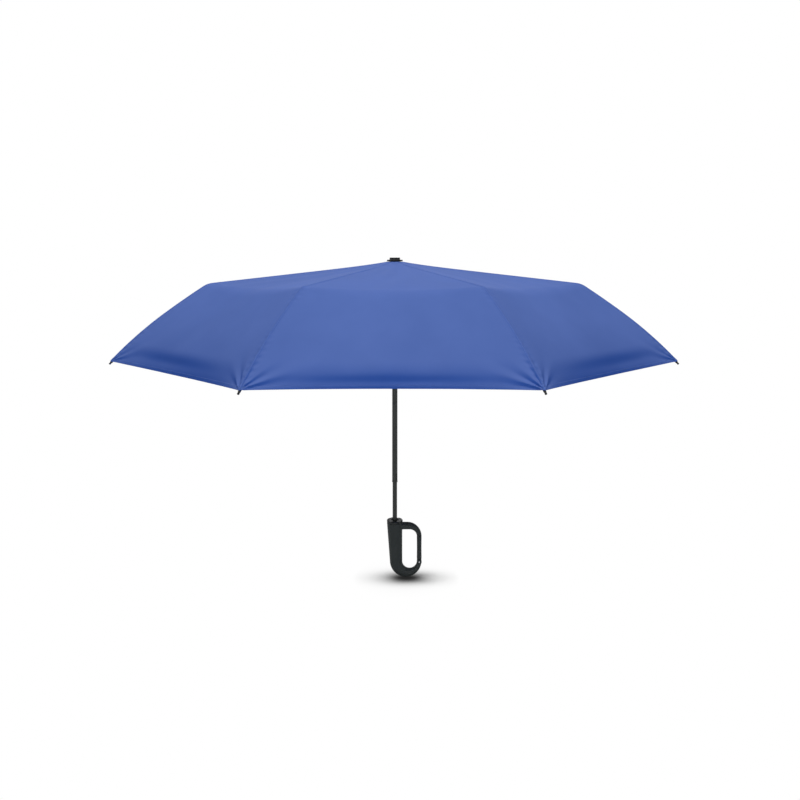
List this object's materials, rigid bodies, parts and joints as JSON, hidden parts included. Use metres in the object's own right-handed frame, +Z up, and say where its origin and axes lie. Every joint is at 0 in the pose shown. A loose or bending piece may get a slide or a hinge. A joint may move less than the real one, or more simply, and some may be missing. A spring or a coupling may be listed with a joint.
{
  "type": "windproof folding umbrella",
  "caption": "Open folding umbrella: a sewn cloth canopy on hinged steel and fibre ribs, a telescopic shaft with a sliding runner, and a carabiner handle.",
  "frame": {"origin": "middle of the grip's column, on the shaft's axis", "axes": "+Z up the shaft towards the ferrule cap, +X towards the handle's loop, +Y to the left of +X"},
  "size_m": [0.9062, 0.9062, 0.5906],
  "materials": {
    "grip_plastic": "fine matte charcoal plastic",
    "frame_plastic": "black moulded plastic",
    "black_steel": "black satin coated steel",
    "bare_steel": "bright drawn steel",
    "fibre": "black glass-fibre rod",
    "cloth": "plain woven polyester, slate blue"
  },
  "bodies": {
    "handle": {"handle_grip": "grip_plastic", "tip_crown": "frame_plastic", "lower_tube": "black_steel", "gate_pin": "bare_steel"},
    "carabiner_gate": {"carabiner_gate": "grip_plastic"},
    "middle_tube": {"middle_tube": "black_steel"},
    "top_tube": {"top_tube": "black_steel", "top_notch": "frame_plastic", "notch_wire": "bare_steel", "ferrule_cap": "frame_plastic", "canopy": "cloth"},
    "runner": {"runner": "frame_plastic", "runner_wire": "bare_steel"},
    "top_rib_1": {"top_rib_1": "black_steel"},
    "stretcher_1": {"stretcher_1": "black_steel"},
    "middle_rib_1": {"middle_rib_1": "black_steel"},
    "outer_rib_1": {"outer_rib_1": "fibre"},
    "tie_wire_1": {"tie_wire_1": "bare_steel"},
    "top_rib_2": {"top_rib_2": "black_steel"},
    "stretcher_2": {"stretcher_2": "black_steel"},
    "middle_rib_2": {"middle_rib_2": "black_steel"},
    "outer_rib_2": {"outer_rib_2": "fibre"},
    "tie_wire_2": {"tie_wire_2": "bare_steel"},
    "top_rib_3": {"top_rib_3": "black_steel"},
    "stretcher_3": {"stretcher_3": "black_steel"},
    "middle_rib_3": {"middle_rib_3": "black_steel"},
    "outer_rib_3": {"outer_rib_3": "fibre"},
    "tie_wire_3": {"tie_wire_3": "bare_steel"},
    "top_rib_4": {"top_rib_4": "black_steel"},
    "stretcher_4": {"stretcher_4": "black_steel"},
    "middle_rib_4": {"middle_rib_4": "black_steel"},
    "outer_rib_4": {"outer_rib_4": "fibre"},
    "tie_wire_4": {"tie_wire_4": "bare_steel"},
    "top_rib_5": {"top_rib_5": "black_steel"},
    "stretcher_5": {"stretcher_5": "black_steel"},
    "middle_rib_5": {"middle_rib_5": "black_steel"},
    "outer_rib_5": {"outer_rib_5": "fibre"},
    "tie_wire_5": {"tie_wire_5": "bare_steel"},
    "top_rib_6": {"top_rib_6": "black_steel"},
    "stretcher_6": {"stretcher_6": "black_steel"},
    "middle_rib_6": {"middle_rib_6": "black_steel"},
    "outer_rib_6": {"outer_rib_6": "fibre"},
    "tie_wire_6": {"tie_wire_6": "bare_steel"},
    "top_rib_7": {"top_rib_7": "black_steel"},
    "stretcher_7": {"stretcher_7": "black_steel"},
    "middle_rib_7": {"middle_rib_7": "black_steel"},
    "outer_rib_7": {"outer_rib_7": "fibre"},
    "tie_wire_7": {"tie_wire_7": "bare_steel"},
    "top_rib_8": {"top_rib_8": "black_steel"},
    "stretcher_8": {"stretcher_8": "black_steel"},
    "middle_rib_8": {"middle_rib_8": "black_steel"},
    "outer_rib_8": {"outer_rib_8": "fibre"},
    "tie_wire_8": {"tie_wire_8": "bare_steel"}
  },
  "joints": [
    {"name": "middle_tube_slide", "type": "slide", "parent": "handle", "child": "middle_tube", "axis": [0, 0, -1], "range_m": [0, 0.07]},
    {"name": "top_tube_slide", "type": "slide", "parent": "middle_tube", "child": "top_tube", "axis": [0, 0, -1], "range_m": [0, 0.196]},
    {"name": "runner_slide", "type": "slide", "parent": "top_tube", "child": "runner", "axis": [0, 0, -1], "range_m": [0, 0.12693], "deforming": ["canopy"]},
    {"name": "gate_hinge", "type": "hinge", "parent": "handle", "child": "carabiner_gate", "pos_m": [0.0452, 0, -0.0215], "axis": [0, -1, 0], "range_deg": [0, 28], "stiffness_Nm_per_rad": 0.05},
    {"name": "top_rib_hinge_1", "type": "hinge", "parent": "top_tube", "child": "top_rib_1", "pos_m": [0.00831, 0.00344, 0.52523], "axis": [-0.3827, 0.9239, 0], "range_deg": [0, 84.55]},
    {"name": "stretcher_hinge_1", "type": "hinge", "parent": "top_rib_1", "child": "stretcher_1", "pos_m": [0.08918, 0.03694, 0.51605], "axis": [-0.3827, 0.9239, 0], "range_deg": [-141.82, 0]},
    {"name": "first_fold_hinge_1", "type": "hinge", "parent": "top_rib_1", "child": "middle_rib_1", "pos_m": [0.16481, 0.06827, 0.51077], "axis": [-0.3827, 0.9239, 0], "range_deg": [-179.92, 0]},
    {"name": "second_fold_hinge_1", "type": "hinge", "parent": "middle_rib_1", "child": "outer_rib_1", "pos_m": [0.31118, 0.1289, 0.49093], "axis": [-0.3827, 0.9239, 0], "range_deg": [0, 147.85]},
    {"name": "tie_wire_hinge_1", "type": "hinge", "parent": "top_rib_1", "child": "tie_wire_1", "pos_m": [0.16038, 0.06643, 0.50887], "axis": [-0.3827, 0.9239, 0], "range_deg": [-179.38, 0]},
    {"name": "top_rib_hinge_2", "type": "hinge", "parent": "top_tube", "child": "top_rib_2", "pos_m": [0.00344, 0.00831, 0.52523], "axis": [-0.9239, 0.3827, 0], "range_deg": [0, 84.55]},
    {"name": "stretcher_hinge_2", "type": "hinge", "parent": "top_rib_2", "child": "stretcher_2", "pos_m": [0.03694, 0.08918, 0.51605], "axis": [-0.9239, 0.3827, 0], "range_deg": [-141.82, 0]},
    {"name": "first_fold_hinge_2", "type": "hinge", "parent": "top_rib_2", "child": "middle_rib_2", "pos_m": [0.06827, 0.16481, 0.51077], "axis": [-0.9239, 0.3827, 0], "range_deg": [-179.92, 0]},
    {"name": "second_fold_hinge_2", "type": "hinge", "parent": "middle_rib_2", "child": "outer_rib_2", "pos_m": [0.1289, 0.31118, 0.49093], "axis": [-0.9239, 0.3827, 0], "range_deg": [0, 147.85]},
    {"name": "tie_wire_hinge_2", "type": "hinge", "parent": "top_rib_2", "child": "tie_wire_2", "pos_m": [0.06643, 0.16038, 0.50887], "axis": [-0.9239, 0.3827, 0], "range_deg": [-179.38, 0]},
    {"name": "top_rib_hinge_3", "type": "hinge", "parent": "top_tube", "child": "top_rib_3", "pos_m": [-0.00344, 0.00831, 0.52523], "axis": [-0.9239, -0.3827, 0], "range_deg": [0, 84.55]},
    {"name": "stretcher_hinge_3", "type": "hinge", "parent": "top_rib_3", "child": "stretcher_3", "pos_m": [-0.03694, 0.08918, 0.51605], "axis": [-0.9239, -0.3827, 0], "range_deg": [-141.82, 0]},
    {"name": "first_fold_hinge_3", "type": "hinge", "parent": "top_rib_3", "child": "middle_rib_3", "pos_m": [-0.06827, 0.16481, 0.51077], "axis": [-0.9239, -0.3827, 0], "range_deg": [-179.92, 0]},
    {"name": "second_fold_hinge_3", "type": "hinge", "parent": "middle_rib_3", "child": "outer_rib_3", "pos_m": [-0.1289, 0.31118, 0.49093], "axis": [-0.9239, -0.3827, 0], "range_deg": [0, 147.85]},
    {"name": "tie_wire_hinge_3", "type": "hinge", "parent": "top_rib_3", "child": "tie_wire_3", "pos_m": [-0.06643, 0.16038, 0.50887], "axis": [-0.9239, -0.3827, 0], "range_deg": [-179.38, 0]},
    {"name": "top_rib_hinge_4", "type": "hinge", "parent": "top_tube", "child": "top_rib_4", "pos_m": [-0.00831, 0.00344, 0.52523], "axis": [-0.3827, -0.9239, 0], "range_deg": [0, 84.55]},
    {"name": "stretcher_hinge_4", "type": "hinge", "parent": "top_rib_4", "child": "stretcher_4", "pos_m": [-0.08918, 0.03694, 0.51605], "axis": [-0.3827, -0.9239, 0], "range_deg": [-141.82, 0]},
    {"name": "first_fold_hinge_4", "type": "hinge", "parent": "top_rib_4", "child": "middle_rib_4", "pos_m": [-0.16481, 0.06827, 0.51077], "axis": [-0.3827, -0.9239, 0], "range_deg": [-179.92, 0]},
    {"name": "second_fold_hinge_4", "type": "hinge", "parent": "middle_rib_4", "child": "outer_rib_4", "pos_m": [-0.31118, 0.1289, 0.49093], "axis": [-0.3827, -0.9239, 0], "range_deg": [0, 147.85]},
    {"name": "tie_wire_hinge_4", "type": "hinge", "parent": "top_rib_4", "child": "tie_wire_4", "pos_m": [-0.16038, 0.06643, 0.50887], "axis": [-0.3827, -0.9239, 0], "range_deg": [-179.38, 0]},
    {"name": "top_rib_hinge_5", "type": "hinge", "parent": "top_tube", "child": "top_rib_5", "pos_m": [-0.00831, -0.00344, 0.52523], "axis": [0.3827, -0.9239, 0], "range_deg": [0, 84.55]},
    {"name": "stretcher_hinge_5", "type": "hinge", "parent": "top_rib_5", "child": "stretcher_5", "pos_m": [-0.08918, -0.03694, 0.51605], "axis": [0.3827, -0.9239, 0], "range_deg": [-141.82, 0]},
    {"name": "first_fold_hinge_5", "type": "hinge", "parent": "top_rib_5", "child": "middle_rib_5", "pos_m": [-0.16481, -0.06827, 0.51077], "axis": [0.3827, -0.9239, 0], "range_deg": [-179.92, 0]},
    {"name": "second_fold_hinge_5", "type": "hinge", "parent": "middle_rib_5", "child": "outer_rib_5", "pos_m": [-0.31118, -0.1289, 0.49093], "axis": [0.3827, -0.9239, 0], "range_deg": [0, 147.85]},
    {"name": "tie_wire_hinge_5", "type": "hinge", "parent": "top_rib_5", "child": "tie_wire_5", "pos_m": [-0.16038, -0.06643, 0.50887], "axis": [0.3827, -0.9239, 0], "range_deg": [-179.38, 0]},
    {"name": "top_rib_hinge_6", "type": "hinge", "parent": "top_tube", "child": "top_rib_6", "pos_m": [-0.00344, -0.00831, 0.52523], "axis": [0.9239, -0.3827, 0], "range_deg": [0, 84.55]},
    {"name": "stretcher_hinge_6", "type": "hinge", "parent": "top_rib_6", "child": "stretcher_6", "pos_m": [-0.03694, -0.08918, 0.51605], "axis": [0.9239, -0.3827, 0], "range_deg": [-141.82, 0]},
    {"name": "first_fold_hinge_6", "type": "hinge", "parent": "top_rib_6", "child": "middle_rib_6", "pos_m": [-0.06827, -0.16481, 0.51077], "axis": [0.9239, -0.3827, 0], "range_deg": [-179.92, 0]},
    {"name": "second_fold_hinge_6", "type": "hinge", "parent": "middle_rib_6", "child": "outer_rib_6", "pos_m": [-0.1289, -0.31118, 0.49093], "axis": [0.9239, -0.3827, 0], "range_deg": [0, 147.85]},
    {"name": "tie_wire_hinge_6", "type": "hinge", "parent": "top_rib_6", "child": "tie_wire_6", "pos_m": [-0.06643, -0.16038, 0.50887], "axis": [0.9239, -0.3827, 0], "range_deg": [-179.38, 0]},
    {"name": "top_rib_hinge_7", "type": "hinge", "parent": "top_tube", "child": "top_rib_7", "pos_m": [0.00344, -0.00831, 0.52523], "axis": [0.9239, 0.3827, 0], "range_deg": [0, 84.55]},
    {"name": "stretcher_hinge_7", "type": "hinge", "parent": "top_rib_7", "child": "stretcher_7", "pos_m": [0.03694, -0.08918, 0.51605], "axis": [0.9239, 0.3827, 0], "range_deg": [-141.82, 0]},
    {"name": "first_fold_hinge_7", "type": "hinge", "parent": "top_rib_7", "child": "middle_rib_7", "pos_m": [0.06827, -0.16481, 0.51077], "axis": [0.9239, 0.3827, 0], "range_deg": [-179.92, 0]},
    {"name": "second_fold_hinge_7", "type": "hinge", "parent": "middle_rib_7", "child": "outer_rib_7", "pos_m": [0.1289, -0.31118, 0.49093], "axis": [0.9239, 0.3827, 0], "range_deg": [0, 147.85]},
    {"name": "tie_wire_hinge_7", "type": "hinge", "parent": "top_rib_7", "child": "tie_wire_7", "pos_m": [0.06643, -0.16038, 0.50887], "axis": [0.9239, 0.3827, 0], "range_deg": [-179.38, 0]},
    {"name": "top_rib_hinge_8", "type": "hinge", "parent": "top_tube", "child": "top_rib_8", "pos_m": [0.00831, -0.00344, 0.52523], "axis": [0.3827, 0.9239, 0], "range_deg": [0, 84.55]},
    {"name": "stretcher_hinge_8", "type": "hinge", "parent": "top_rib_8", "child": "stretcher_8", "pos_m": [0.08918, -0.03694, 0.51605], "axis": [0.3827, 0.9239, 0], "range_deg": [-141.82, 0]},
    {"name": "first_fold_hinge_8", "type": "hinge", "parent": "top_rib_8", "child": "middle_rib_8", "pos_m": [0.16481, -0.06827, 0.51077], "axis": [0.3827, 0.9239, 0], "range_deg": [-179.92, 0]},
    {"name": "second_fold_hinge_8", "type": "hinge", "parent": "middle_rib_8", "child": "outer_rib_8", "pos_m": [0.31118, -0.1289, 0.49093], "axis": [0.3827, 0.9239, 0], "range_deg": [0, 147.85]},
    {"name": "tie_wire_hinge_8", "type": "hinge", "parent": "top_rib_8", "child": "tie_wire_8", "pos_m": [0.16038, -0.06643, 0.50887], "axis": [0.3827, 0.9239, 0], "range_deg": [-179.38, 0]}
  ],
  "couplings": [
    {"joint": "top_rib_hinge_1", "follows": "runner_slide", "rad_per_m": 11.623},
    {"joint": "stretcher_hinge_1", "follows": "runner_slide", "rad_per_m": -19.498},
    {"joint": "first_fold_hinge_1", "follows": "runner_slide", "rad_per_m": -24.736},
    {"joint": "second_fold_hinge_1", "follows": "runner_slide", "rad_per_m": 20.326},
    {"joint": "tie_wire_hinge_1", "follows": "runner_slide", "rad_per_m": -24.662},
    {"joint": "top_rib_hinge_2", "follows": "runner_slide", "rad_per_m": 11.623},
    {"joint": "stretcher_hinge_2", "follows": "runner_slide", "rad_per_m": -19.498},
    {"joint": "first_fold_hinge_2", "follows": "runner_slide", "rad_per_m": -24.736},
    {"joint": "second_fold_hinge_2", "follows": "runner_slide", "rad_per_m": 20.326},
    {"joint": "tie_wire_hinge_2", "follows": "runner_slide", "rad_per_m": -24.662},
    {"joint": "top_rib_hinge_3", "follows": "runner_slide", "rad_per_m": 11.623},
    {"joint": "stretcher_hinge_3", "follows": "runner_slide", "rad_per_m": -19.498},
    {"joint": "first_fold_hinge_3", "follows": "runner_slide", "rad_per_m": -24.736},
    {"joint": "second_fold_hinge_3", "follows": "runner_slide", "rad_per_m": 20.326},
    {"joint": "tie_wire_hinge_3", "follows": "runner_slide", "rad_per_m": -24.662},
    {"joint": "top_rib_hinge_4", "follows": "runner_slide", "rad_per_m": 11.623},
    {"joint": "stretcher_hinge_4", "follows": "runner_slide", "rad_per_m": -19.498},
    {"joint": "first_fold_hinge_4", "follows": "runner_slide", "rad_per_m": -24.736},
    {"joint": "second_fold_hinge_4", "follows": "runner_slide", "rad_per_m": 20.326},
    {"joint": "tie_wire_hinge_4", "follows": "runner_slide", "rad_per_m": -24.662},
    {"joint": "top_rib_hinge_5", "follows": "runner_slide", "rad_per_m": 11.623},
    {"joint": "stretcher_hinge_5", "follows": "runner_slide", "rad_per_m": -19.498},
    {"joint": "first_fold_hinge_5", "follows": "runner_slide", "rad_per_m": -24.736},
    {"joint": "second_fold_hinge_5", "follows": "runner_slide", "rad_per_m": 20.326},
    {"joint": "tie_wire_hinge_5", "follows": "runner_slide", "rad_per_m": -24.662},
    {"joint": "top_rib_hinge_6", "follows": "runner_slide", "rad_per_m": 11.623},
    {"joint": "stretcher_hinge_6", "follows": "runner_slide", "rad_per_m": -19.498},
    {"joint": "first_fold_hinge_6", "follows": "runner_slide", "rad_per_m": -24.736},
    {"joint": "second_fold_hinge_6", "follows": "runner_slide", "rad_per_m": 20.326},
    {"joint": "tie_wire_hinge_6", "follows": "runner_slide", "rad_per_m": -24.662},
    {"joint": "top_rib_hinge_7", "follows": "runner_slide", "rad_per_m": 11.623},
    {"joint": "stretcher_hinge_7", "follows": "runner_slide", "rad_per_m": -19.498},
    {"joint": "first_fold_hinge_7", "follows": "runner_slide", "rad_per_m": -24.736},
    {"joint": "second_fold_hinge_7", "follows": "runner_slide", "rad_per_m": 20.326},
    {"joint": "tie_wire_hinge_7", "follows": "runner_slide", "rad_per_m": -24.662},
    {"joint": "top_rib_hinge_8", "follows": "runner_slide", "rad_per_m": 11.623},
    {"joint": "stretcher_hinge_8", "follows": "runner_slide", "rad_per_m": -19.498},
    {"joint": "first_fold_hinge_8", "follows": "runner_slide", "rad_per_m": -24.736},
    {"joint": "second_fold_hinge_8", "follows": "runner_slide", "rad_per_m": 20.326},
    {"joint": "tie_wire_hinge_8", "follows": "runner_slide", "rad_per_m": -24.662}
  ]
}
